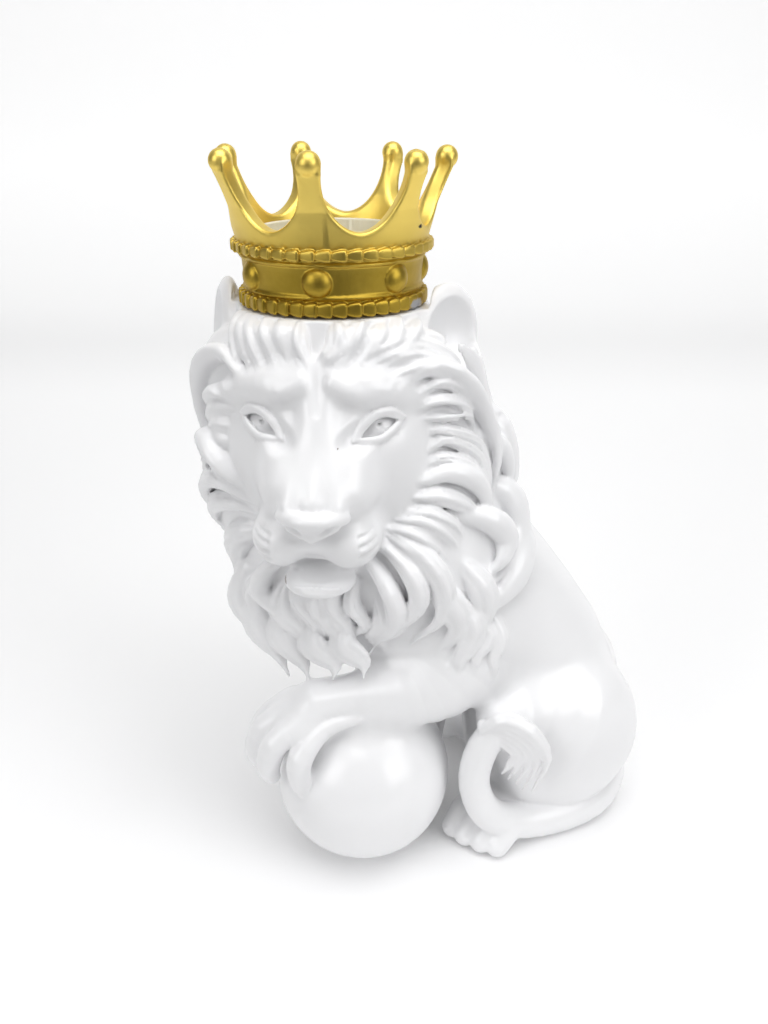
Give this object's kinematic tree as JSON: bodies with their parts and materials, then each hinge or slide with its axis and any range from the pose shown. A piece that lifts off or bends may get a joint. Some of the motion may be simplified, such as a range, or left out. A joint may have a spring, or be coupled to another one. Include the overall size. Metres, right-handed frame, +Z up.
{
  "type": "seated lion sculpture with crown planter",
  "caption": "White resin lion, seated with a forepaw on a ball, wearing a gold-painted crown that holds a round well.",
  "frame": {"origin": "on the floor, under the middle of the sculpture's bounding box", "axes": "+Z up, the lion's rump towards +X and its face towards -Y"},
  "size_m": [0.237, 0.1571, 0.3498],
  "materials": {
    "gloss_white": "white cast resin under a gloss coat",
    "satin_gold": "satin metallic gold paint over cast resin"
  },
  "bodies": {
    "root": {"lion": "gloss_white", "crown": "satin_gold"}
  },
  "joints": []
}
